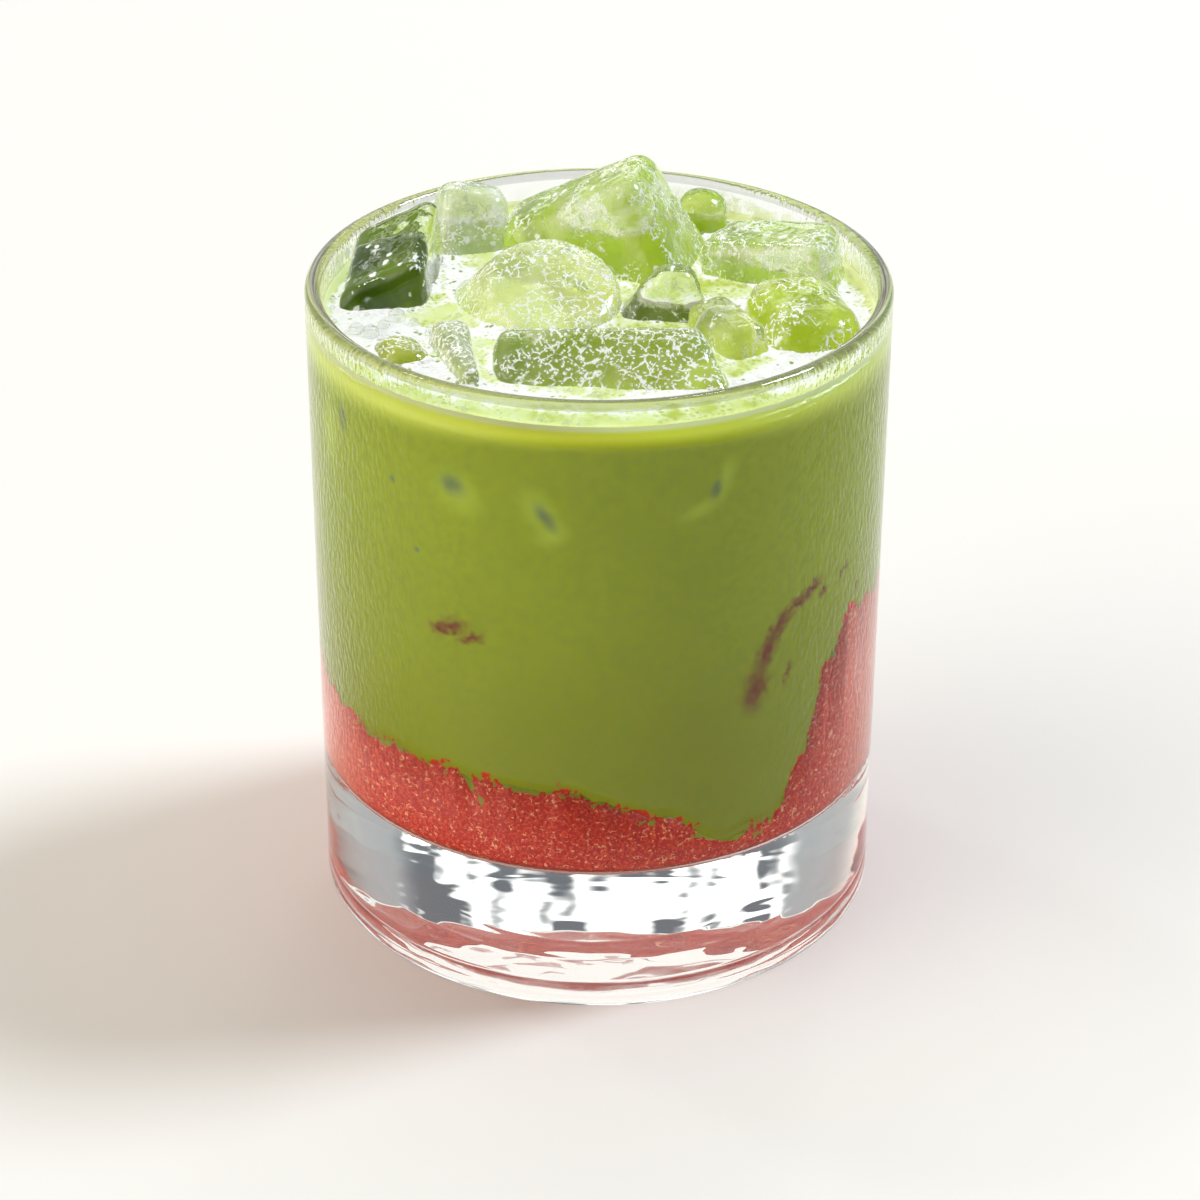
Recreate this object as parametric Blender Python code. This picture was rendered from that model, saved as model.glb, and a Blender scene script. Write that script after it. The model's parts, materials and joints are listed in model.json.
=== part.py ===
"""Iced matcha latte over a red fruit puree, in a straight-sided clear tumbler.

Units are metres and +Z is up. The origin is the centre of the base, and the front
faces -Y. The tumbler, the puree, the latte and each piece of ice are solids of
their own, a small gap apart.
"""

import math
from dataclasses import dataclass

import bmesh
import bpy
from mathutils import Euler, Matrix, Vector

# Driving dimensions of the tumbler
GLASS_RADIUS = 0.0400
GLASS_HEIGHT = 0.0932
WALL = 0.0022
BASE_THICKNESS = 0.0205
FOOT_ROUNDING = 0.0010
FLOOR_ROUNDING = 0.0030

# Gap between neighbours, and the upright gap that leaves it on the steepest slope
GAP = 0.0003
LAYER_GAP = 0.0007

# The drink: its level, and the level of the puree in the middle of the glass
LATTE_LEVEL = 0.0884
PUREE_MIDDLE = 0.0320

# Height of the puree along the wall: degrees from the front towards +X, height
PUREE_EDGE = (
    (-95.0, 0.0380), (-50.0, 0.0352), (-8.0, 0.0345), (12.0, 0.0308),
    (26.0, 0.0246), (38.0, 0.0252), (46.0, 0.0330), (53.0, 0.0465),
    (62.0, 0.0520), (85.0, 0.0500), (125.0, 0.0400), (180.0, 0.0340),
    (225.0, 0.0370),
)

# Steps round the glass, and rings from the middle out to the wall
STEPS = 72
RINGS = 7
ARC_STEPS = 3

MM = 0.001

# Edges blunter than this many degrees are shaded smooth
SMOOTH_ANGLE = 35.0

# Edges sharper than this many degrees melt round, in this many steps
MELTED_ANGLE = 25.0
MELT_STEPS = 2

# Steps round the face of the round piece
ROUND_STEPS = 24


@dataclass
class Ice:
    """One piece of ice, in millimetres and degrees, before it is turned and placed."""
    size: tuple
    place: tuple
    turn: tuple
    top: tuple = (0.9, 0.9)
    lean: tuple = (0.0, 0.0)
    back: float = 1.0
    skew: float = 0.0
    melt: float = 1.6
    is_round: bool = False


# top is the size of the top as a share of the foot, and lean how far it is shifted.
# back is the width of the back as a share of the front, and skew its sideways shift.
ICE = {
    "ice_left_block": Ice((12.8, 17.0, 11.6), (-30.9, 6.8, 87.2), (8, -24, 8),
                          lean=(4.6, 0.0), skew=5.4, melt=1.4),
    "ice_left_back": Ice((10.4, 12.8, 13.0), (-18.3, 22.0, 89.2), (-4, 6, 10),
                         top=(0.85, 0.50), lean=(0.2, 3.0), melt=1.8),
    "ice_round": Ice((24.6, 19.6, 11.0), (-10.5, 1.0, 87.2), (22, 6, 0),
                     top=(0.745, 0.96), lean=(3.6, 0.0), melt=1.4, is_round=True),
    "ice_tall": Ice((24.2, 22.0, 21.4), (0.3, 16.5, 87.3), (4, -27, -14),
                    top=(0.90, 0.50), lean=(0.0, 3.8), melt=2.0),
    "ice_back_lump": Ice((7.8, 7.6, 11.0), (14.4, 29.0, 88.2), (5, 10, -20),
                         top=(0.75, 0.75), melt=2.4),
    "ice_right_slab": Ice((19.6, 10.0, 15.0), (25.2, 11.4, 87.2), (4, -9, -26),
                          top=(1.0, 0.9), back=0.80, melt=1.6),
    "ice_right_lump": Ice((13.8, 18.4, 13.0), (27.4, -6.2, 86.4), (4, 4, 16),
                          top=(0.85, 0.85), melt=3.2),
    "ice_prism": Ice((13.4, 7.0, 9.4), (8.8, -2.3, 90.2), (4, 4, -8),
                     top=(0.30, 0.44), lean=(1.2, 1.0), melt=0.8),
    "ice_clear_block": Ice((11.7, 6.0, 7.4), (17.2, -11.2, 88.8), (6, 3, -58), melt=1.1),
    "ice_front_slab": Ice((34.4, 12.4, 10.8), (1.3, -19.3, 86.1), (34, -2, -3),
                          back=0.84, skew=-2.4, melt=1.5),
    "ice_shard": Ice((2.8, 15.4, 8.4), (-18.9, -18.2, 86.8), (4, 0, 0),
                     top=(0.5, 0.85), lean=(0.6, 0.0), back=2.6, skew=-3.2, melt=0.5),
    "ice_low_lump": Ice((7.4, 9.4, 8.4), (-26.3, -15.3, 85.6), (4, 4, 24),
                        top=(0.8, 0.8), melt=2.2),
}


def clear_scene():
    for old in list(bpy.data.objects):
        bpy.data.objects.remove(old, do_unlink=True)


def make_material(name, colour, roughness, transmission=0.0, ior=1.45):
    material = bpy.data.materials.new(name)
    material.use_nodes = True
    shader = material.node_tree.nodes["Principled BSDF"]
    shader.inputs["Base Color"].default_value = (*colour, 1.0)
    shader.inputs["Roughness"].default_value = roughness
    shader.inputs["Metallic"].default_value = 0.0
    shader.inputs["Transmission Weight"].default_value = transmission
    shader.inputs["IOR"].default_value = ior
    return material


def add_object(name, bm, material):
    """Turn a bmesh into a smooth-shaded object with its faces pointing out."""
    bmesh.ops.recalc_face_normals(bm, faces=bm.faces)
    mesh = bpy.data.meshes.new(name)
    bm.to_mesh(mesh)
    bm.free()
    mesh.materials.append(material)
    mesh.shade_smooth()
    mesh.set_sharp_from_angle(angle=math.radians(SMOOTH_ANGLE))
    obj = bpy.data.objects.new(name, mesh)
    bpy.context.scene.collection.objects.link(obj)
    return obj


def at_angle(angle, radius, height):
    """A point round the glass: angle in degrees from the front towards +X."""
    turn = math.radians(angle)
    return Vector((radius * math.sin(turn), -radius * math.cos(turn), height))


def round_body(name, rings, material):
    """A closed body from rings, each a function of the angle that gives a radius
    and a height. A middle point closes the first ring and the last."""
    bm = bmesh.new()
    angles = [360.0 * step / STEPS for step in range(STEPS)]
    loops = []
    for ring in rings:
        loops.append([bm.verts.new(at_angle(angle, *ring(angle))) for angle in angles])
    for low, high in zip(loops, loops[1:]):
        for step in range(STEPS):
            after = (step + 1) % STEPS
            bm.faces.new((low[step], low[after], high[after], high[step]))
    for loop in (loops[0], loops[-1]):
        height = sum(vert.co.z for vert in loop) / STEPS
        middle = bm.verts.new((0.0, 0.0, height))
        for step in range(STEPS):
            bm.faces.new((loop[step], loop[(step + 1) % STEPS], middle))
    return add_object(name, bm, material)


def arc(middle, radius, start, end, steps=ARC_STEPS):
    """Points of a profile on an arc, each a radius and a height."""
    points = []
    for step in range(steps + 1):
        turn = math.radians(start + (end - start) * step / steps)
        points.append((middle[0] + radius * math.cos(turn),
                       middle[1] + radius * math.sin(turn)))
    return points


def profile_rings(points):
    """Rings of one radius and height all round."""
    return [lambda angle, point=point: point for point in points]


def make_glass(material):
    inner = GLASS_RADIUS - WALL
    lip = WALL / 2
    foot = arc((GLASS_RADIUS - FOOT_ROUNDING, FOOT_ROUNDING), FOOT_ROUNDING, -90, 0)
    rim = arc((inner + lip, GLASS_HEIGHT - lip), lip, 0, 180, 2 * ARC_STEPS)
    floor = arc((inner - FLOOR_ROUNDING, BASE_THICKNESS + FLOOR_ROUNDING),
                FLOOR_ROUNDING, 0, -90)
    return round_body("glass", profile_rings(foot + rim + floor), material)


def edge_height(angle):
    """Height of the puree at the wall, eased from one named height to the next."""
    start = PUREE_EDGE[0][0]
    angle = (angle - start) % 360.0 + start
    keys = PUREE_EDGE + ((start + 360.0, PUREE_EDGE[0][1]),)
    for (angle_a, height_a), (angle_b, height_b) in zip(keys, keys[1:]):
        if angle <= angle_b:
            share = (angle - angle_a) / (angle_b - angle_a)
            eased = share * share * (3.0 - 2.0 * share)
            return height_a + (height_b - height_a) * eased
    return keys[-1][1]


def layer_rings(radius, lift):
    """The uneven top of the puree, as rings from the wall in to the middle."""
    rings = []
    for step in range(RINGS, 0, -1):
        reach = step / RINGS

        def ring(angle, reach=reach):
            rise = (edge_height(angle) - PUREE_MIDDLE) * reach ** 2
            return radius * reach, PUREE_MIDDLE + rise + lift

        rings.append(ring)
    return rings


def make_puree(material):
    radius = GLASS_RADIUS - WALL - GAP
    corner = FLOOR_ROUNDING - GAP
    foot = arc((radius - corner, BASE_THICKNESS + GAP + corner), corner, -90, 0)
    return round_body("red_puree", profile_rings(foot) + layer_rings(radius, 0.0), material)


def make_latte(material, pockets):
    radius = GLASS_RADIUS - WALL - GAP
    underside = list(reversed(layer_rings(radius, LAYER_GAP)))
    top = profile_rings([(radius, LATTE_LEVEL)])
    latte = round_body("green_latte", underside + top, material)
    cut = latte.modifiers.new("pockets", 'BOOLEAN')
    cut.operation = 'DIFFERENCE'
    cut.operand_type = 'COLLECTION'
    cut.collection = pockets
    cut.solver = 'EXACT'
    return latte


def melt_edges(bm, width):
    """Round every sharp edge, as on ice that has begun to melt."""
    sharp = [edge for edge in bm.edges if edge.calc_face_angle(0.0) > math.radians(MELTED_ANGLE)]
    bmesh.ops.bevel(bm, geom=sharp, offset=width, segments=MELT_STEPS, profile=0.5,
                    affect='EDGES')


def shape_piece(bm, piece, full):
    """Narrow a piece towards its top and its back, and shift both sideways."""
    for vert in bm.verts:
        high = vert.co.z / full[2] + 0.5
        far = vert.co.y / full[1] + 0.5
        wide = (1.0 + (piece.top[0] - 1.0) * high) * (1.0 + (piece.back - 1.0) * far)
        vert.co.x = vert.co.x * wide + piece.lean[0] * high + piece.skew * (far - 0.5)
        vert.co.y = vert.co.y * (1.0 + (piece.top[1] - 1.0) * high) + piece.lean[1] * high


def ice_piece(piece, grow):
    """A block or a puck of ice, grown all round where it is to cut its pocket."""
    bm = bmesh.new()
    full = [side + 2.0 * grow for side in piece.size]
    if piece.is_round:
        bmesh.ops.create_cone(bm, cap_ends=True, segments=ROUND_STEPS,
                              radius1=0.5, radius2=0.5, depth=1.0)
    else:
        bmesh.ops.create_cube(bm, size=1.0)
    bm.transform(Matrix.Diagonal((*full, 1.0)))
    shape_piece(bm, piece, full)
    melt_edges(bm, piece.melt + grow)
    turn = Euler([math.radians(angle) for angle in piece.turn]).to_matrix().to_4x4()
    bm.transform(Matrix.Scale(MM, 4) @ Matrix.Translation(piece.place) @ turn)
    return bm


def make_ice(material):
    """Make every piece of ice, and the cutters for its pockets in the latte."""
    pockets = bpy.data.collections.new("ice_pockets")
    bpy.context.scene.collection.children.link(pockets)
    for name, piece in ICE.items():
        add_object(name, ice_piece(piece, 0.0), material)
        cutter = add_object("pocket_" + name, ice_piece(piece, GAP / MM), material)
        bpy.context.scene.collection.objects.unlink(cutter)
        pockets.objects.link(cutter)
        cutter.hide_render = True
        cutter.display_type = 'WIRE'
    return pockets


def main():
    clear_scene()
    clear_glass = make_material("clear_glass", (0.96, 0.98, 0.97), 0.02, 1.0, 1.50)
    red_fruit = make_material("red_fruit", (0.62, 0.06, 0.04), 0.45)
    matcha = make_material("matcha_milk", (0.30, 0.40, 0.07), 0.35)
    ice = make_material("ice", (0.92, 0.97, 0.90), 0.08, 0.85, 1.31)
    make_glass(clear_glass)
    make_puree(red_fruit)
    pockets = make_ice(ice)
    make_latte(matcha, pockets)


main()
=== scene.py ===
"""Looks of the iced matcha latte: refracting glass, grainy puree, milky latte, ice and foam."""

import bisect
import json
import math
import random

import bmesh
import bpy
import numpy as np
from mathutils import Matrix, Vector, noise
from mathutils.bvhtree import BVHTree

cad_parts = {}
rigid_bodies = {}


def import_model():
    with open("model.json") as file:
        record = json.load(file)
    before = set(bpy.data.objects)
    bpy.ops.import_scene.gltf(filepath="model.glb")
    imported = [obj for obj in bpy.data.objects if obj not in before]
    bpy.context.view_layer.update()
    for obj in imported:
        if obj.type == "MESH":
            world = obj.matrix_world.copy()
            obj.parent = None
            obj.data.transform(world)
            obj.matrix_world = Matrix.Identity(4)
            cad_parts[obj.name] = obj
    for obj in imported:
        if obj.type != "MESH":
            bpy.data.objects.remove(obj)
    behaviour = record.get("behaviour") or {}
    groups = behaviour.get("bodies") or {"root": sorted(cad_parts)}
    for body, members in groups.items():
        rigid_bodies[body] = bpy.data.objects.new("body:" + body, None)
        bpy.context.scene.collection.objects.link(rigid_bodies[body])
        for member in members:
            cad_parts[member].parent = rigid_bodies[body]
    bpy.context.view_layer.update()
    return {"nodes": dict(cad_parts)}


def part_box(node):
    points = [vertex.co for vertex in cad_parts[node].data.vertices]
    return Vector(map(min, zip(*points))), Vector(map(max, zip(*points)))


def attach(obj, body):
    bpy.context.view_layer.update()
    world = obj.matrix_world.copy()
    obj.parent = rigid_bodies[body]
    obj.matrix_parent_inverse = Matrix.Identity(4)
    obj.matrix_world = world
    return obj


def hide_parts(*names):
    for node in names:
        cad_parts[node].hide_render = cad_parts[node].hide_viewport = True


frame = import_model()

MM = 0.001
GAP = 0.3 * MM

# Sizes of the glass and the drink, read from the frame
GLASS_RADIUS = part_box("glass")[1].x
GLASS_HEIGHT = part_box("glass")[1].z
INNER_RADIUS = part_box("red_puree")[1].x + GAP
FLOOR_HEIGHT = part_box("red_puree")[0].z - GAP
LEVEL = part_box("green_latte")[1].z

# Finer shape of the glass: its rounding, the hollow underneath with its faint ridges,
# the grooves at the foot, and how far in the floor shows the puree from below
FOOT_ROUNDING = 1.0 * MM
FLOOR_ROUNDING = 3.0 * MM
PUNT_RADIUS = 33.0 * MM
PUNT_RISE = 0.8 * MM
PUNT_STEPS = 66
PUNT_RIDGES = (14.0 * MM, 21.0 * MM)
PUNT_RIDGE = 0.012 * MM
PUNT_RIDGE_WIDTH = 0.6 * MM
FOOT_GROOVES = (2.1 * MM, 4.3 * MM)
FOOT_GROOVE = 0.07 * MM
FOOT_GROOVE_WIDTH = 0.6 * MM
PINK_RADIUS = 24.0 * MM
ARC_STEPS = 10
GLASS_STEPS = 288
GROOVE_STEPS = 4

# The drink reaches this far into the wall, so that no air shows, the puree a little further
LATTE_REACH = 0.05 * MM
PUREE_REACH = 0.10 * MM
FLOOR_GAP = 0.12 * MM
DRINK_STEPS = 480
MENISCUS = 0.9 * MM
MENISCUS_WIDTH = 1.1 * MM
ICE_MENISCUS = 0.45 * MM
ICE_MENISCUS_WIDTH = 0.7 * MM
RIPPLE = 0.05 * MM
RIPPLE_SIZE = 3.0 * MM
FOAM_START = 0.3
FOAM_LIFT = 0.25
FOAM_ROUGHNESS = 0.3
FOAM_GRAIN = 1.3 * MM
LAYER_OVERLAP = 1.5 * MM
PUREE_ROWS = 12
PUREE_WAVES = ((0.9, 7.0), (0.55, 19.0), (0.35, 47.0))
UNDERSIDE_ROWS = 8
WALL_ROWS = 16
TOP_ROWS = 74
TOP_SPREAD = 0.85

# Height of the puree along the wall: degrees from the front towards +X, millimetres
PUREE_MIDDLE = 32.0
PUREE_EDGE = (
    (-95.0, 38.0), (-50.0, 35.2), (-8.0, 34.5), (12.0, 30.8), (26.0, 24.6),
    (38.0, 25.2), (46.0, 33.0), (53.0, 46.5), (62.0, 52.0), (85.0, 50.0),
    (125.0, 40.0), (180.0, 34.0), (225.0, 37.0),
)

# Camera: lens and sensor in millimetres, and turns in degrees; it looks down at the drink
LENS = 99.0
SENSOR = 36.0
CAMERA_DISTANCE = 473.1 * MM
CAMERA_ELEVATION = 29.28
CAMERA_ROLL = 0.22
CAMERA_SHIFT = 0.0017
LOOK_AT = Vector((0.0, 0.0, 42.7 * MM))

# Studio lamps: place and size in metres, watts, colour; all of them aim at the drink
LAMPS = (
    ("key", (3.60, 1.16, 4.66), (1.60, 1.60), 224.0, (0.78, 0.90, 1.0)),
    ("spark_left", (-2.60, 2.20, 4.90), (0.50, 0.60), 15.0, (1.0, 1.0, 1.0)),
    ("spark_back", (0.70, 3.80, 4.60), (0.54, 0.40), 8.5, (1.0, 1.0, 1.0)),
)
# Light from the room: the plain colour, then a direction, its colour and where it fades in
SKY_COLOUR = (0.64, 0.605, 0.54)
SKY_SIDES = (
    ((0.0, 1.0, 0.5), (0.41, 0.425, 0.445), 0.0, 1.0),
    ((-1.0, -0.85, 0.35), (2.85, 2.70, 2.45), 0.35, 1.0),
    ((0.60, -1.0, 0.30), (0.05, 0.05, 0.045), 0.0, 0.65),
)
# Clouds of light behind the glass, which show in its base: direction, reach, size, colours
CLOUDS_TOWARDS = (0.0, 1.0, 0.76)
CLOUDS_REACH = (0.84, 0.90)
CLOUD_SCALE = 8.0
CLOUD_EDGE = (0.47, 0.57)
CLOUD_COLOURS = ((0.17, 0.18, 0.20), (1.75, 1.74, 1.72))

# The ice: the faces of its finer shape, its unevenness, its growth, and the crisp pieces
ICE_NAMES = sorted(name for name in frame["nodes"] if name.startswith("ice_"))
ICE_VOXEL = 0.55 * MM
ICE_BUMP = 0.22 * MM
ICE_GROWTH = 0.55 * MM
CRISP_ICE = ("ice_left_block", "ice_prism", "ice_clear_block", "ice_shard")
ICE_SOFTNESS = 4

# Foam lace, milky veil, its colour, and the painted light and shade of the milk behind each piece
# of ice, as lit and shaded copies of the milk colour
ICE_LOOKS = {
    "ice_front_slab": (0.95, 0.30, (0.62, 0.72, 0.24), (0.62, 0.74, 0.08)),
    "ice_round": (0.85, 0.50, (0.84, 0.94, 0.46), (0.92, 0.98, 0.36)),
    "ice_tall": (0.60, 0.45, (0.54, 0.68, 0.12), (0.76, 0.92, 0.12)),
    "ice_left_back": (0.60, 0.50, (0.84, 0.90, 0.72), (0.76, 0.88, 0.30)),
    "ice_left_block": (0.10, 0.04, (0.50, 0.60, 0.20), (0.24, 0.38, 0.001)),
    "ice_right_slab": (0.75, 0.42, (0.54, 0.68, 0.18), (0.70, 0.86, 0.12)),
    "ice_right_lump": (0.65, 0.38, (0.74, 0.90, 0.10), (0.86, 0.98, 0.06)),
    "ice_prism": (0.25, 0.10, (0.78, 0.84, 0.62), (0.26, 0.36, 0.01)),
    "ice_clear_block": (0.20, 0.16, (0.80, 0.88, 0.56), (0.70, 0.80, 0.14)),
    "ice_shard": (0.70, 0.40, (0.88, 0.93, 0.68), (0.84, 0.92, 0.45)),
    "ice_low_lump": (0.60, 0.42, (0.74, 0.80, 0.12), (0.74, 0.80, 0.06)),
    "ice_back_lump": (0.30, 0.35, (0.60, 0.78, 0.08), (0.56, 0.72, 0.03)),
}

# Marks on the latte where ice or fruit lies against the wall, painted shade and a painted glow of
# light where clear ice touches it and the fruit's own red where fruit does:
# degrees from the front, height, half width and half height in mm, lean, softness
ICE_SHADE_MARKS = (
    (-59.9, 81.4, 1.4, 3.0, -8.0, 1.0),
    (-29.2, 78.6, 3.0, 2.3, 30.0, 1.0),
    (-10.2, 76.1, 1.4, 3.8, -35.0, 1.0),
    (23.2, 79.2, 1.2, 2.4, 20.0, 1.0),
    (-44.0, 76.6, 0.5, 1.0, -30.0, 1.0),
    (-38.0, 67.4, 0.8, 0.6, 0.0, 1.0),
)
GLOW_MARKS = (
    (-8.8, 73.6, 3.6, 2.6, -30.0, 1.0),
    (-11.6, 77.0, 3.2, 5.4, -35.0, 1.0),
    (-28.0, 77.6, 5.6, 4.4, 30.0, 1.0),
    (25.2, 80.6, 1.8, 4.6, 14.0, 1.0),
    (20.0, 76.4, 4.6, 1.6, -24.0, 1.0),
    (-66.0, 78.0, 3.4, 7.0, 0.0, 1.0),
)
FRUIT_MARKS = (
    (-32.9, 56.7, 2.2, 1.7, 0.0, 1.0),
    (-29.6, 57.6, 3.4, 1.9, -20.0, 1.0),
    (-25.6, 56.4, 3.0, 1.3, -28.0, 1.0),
    (33.0, 47.4, 2.8, 5.4, 12.0, 0.95),
    (35.6, 52.6, 2.2, 4.4, 26.0, 0.9),
    (38.6, 56.0, 1.9, 4.0, 44.0, 1.0),
    (43.4, 58.3, 1.7, 3.6, 78.0, 1.0),
    (47.6, 59.6, 1.5, 3.2, 70.0, 1.0),
    (51.0, 58.0, 1.0, 1.5, 30.0, 1.0),
    (57.6, 59.2, 0.7, 2.4, 50.0, 1.0),
    (41.3, 48.2, 0.6, 2.6, 15.0, 1.0),
    (64.0, 55.6, 0.5, 2.2, 15.0, 1.0),
)
DRIPS = (
    (-26.6, 34.2, 0.7, 2.4, -24.0, 1.0),
    (-24.2, 31.2, 0.6, 2.0, -28.0, 1.0),
)

# Banks of foam: middle, half length, half width in mm, turn in radians, strength
FOAM_BANKS = (
    (-29.5, -9.0, 7.0, 5.0, -0.9, 1.3),
    (-24.0, -20.0, 9.0, 3.0, -0.75, 1.2),
    (-14.0, -8.5, 10.0, 1.8, -0.1, 1.0),
    (-19.5, 10.0, 3.0, 6.0, 0.0, 0.8),
    (-33.5, 1.0, 2.4, 8.0, 0.0, 1.2),
    (27.0, -20.5, 6.0, 2.4, 0.8, 0.9),
    (34.5, -6.0, 2.6, 12.0, 0.0, 1.2),
    (22.0, 21.0, 12.0, 2.4, -0.5, 1.0),
    (18.0, 1.5, 7.0, 2.2, -0.3, 0.9),
    (-6.0, 31.0, 12.0, 2.4, 0.0, 0.8),
)
# Where milk is left on the inner wall: degrees from the front, half width
FILM_PLACES = ((118.0, 26.0), (150.0, 16.0), (222.0, 16.0), (252.0, 22.0), (284.0, 14.0))
FILM_ROWS = 10
FILM_STEPS = 360
FILM_START = 0.3 * MM
FILM_HEIGHT = 3.3
FILM_WAVES = ((1.6, 4.0), (0.8, 13.0))
FILM_THICKNESS = (0.06, 0.05)

# Big bubbles: place and radius in mm; then how many small ones are tried, and how close
BIG_BUBBLES = (
    (-32.6, -8.2, 1.15), (-30.6, -9.3, 1.3), (-27.4, -4.0, 1.3),
    (-22.6, -8.6, 0.8), (-29.0, -6.6, 0.9), (-25.0, -5.6, 0.8),
)
BUBBLE_TRIES = 5200
BUBBLE_SEED = 11
BUBBLE_SIZE = 0.12
BUBBLE_SPREAD = 0.42
BUBBLE_LIFT = 0.25
CROWDING = 0.9

# The floor: half its side in metres, and how far it lies below the glass
FLOOR_HALF_SIDE = 4.0
FLOOR_DROP = 0.05 * MM


def rings_to_mesh(name, rings):
    """A mesh from rings of points; each end is closed with a middle point."""
    steps = len(rings[0])
    verts = [tuple(point) for ring in rings for point in ring]
    faces = []
    for row in range(len(rings) - 1):
        low, high = row * steps, (row + 1) * steps
        for step in range(steps):
            after = (step + 1) % steps
            faces.append((low + step, low + after, high + after, high + step))
    for start, ring in ((0, rings[0]), ((len(rings) - 1) * steps, rings[-1])):
        middle = len(verts)
        verts.append((0.0, 0.0, sum(point[2] for point in ring) / steps))
        for step in range(steps):
            after = (step + 1) % steps
            pair = (start + after, start + step) if start == 0 else (start + step, start + after)
            faces.append((*pair, middle))
    mesh = bpy.data.meshes.new(name)
    mesh.from_pydata(verts, [], faces)
    mesh.update()
    return mesh


def turned_ring(radius, height, steps):
    return [(radius * math.sin(2 * math.pi * step / steps),
             -radius * math.cos(2 * math.pi * step / steps), height)
            for step in range(steps)]


def arc(middle, radius, start, end, steps=ARC_STEPS):
    points = []
    for step in range(steps + 1):
        turn = math.radians(start + (end - start) * step / steps)
        points.append((middle[0] + radius * math.cos(turn),
                       middle[1] + radius * math.sin(turn)))
    return points


def add_piece(name, mesh, materials, replaces=()):
    """Put a piece on the object: smooth, with its materials, riding on the body."""
    mesh.name = name
    mesh.materials.clear()
    for material in materials if isinstance(materials, (list, tuple)) else [materials]:
        mesh.materials.append(material)
    mesh.shade_smooth()
    obj = bpy.data.objects.new(name, mesh)
    bpy.context.scene.collection.objects.link(obj)
    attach(obj, "root")
    if replaces:
        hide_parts(*replaces)
    return obj


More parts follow.
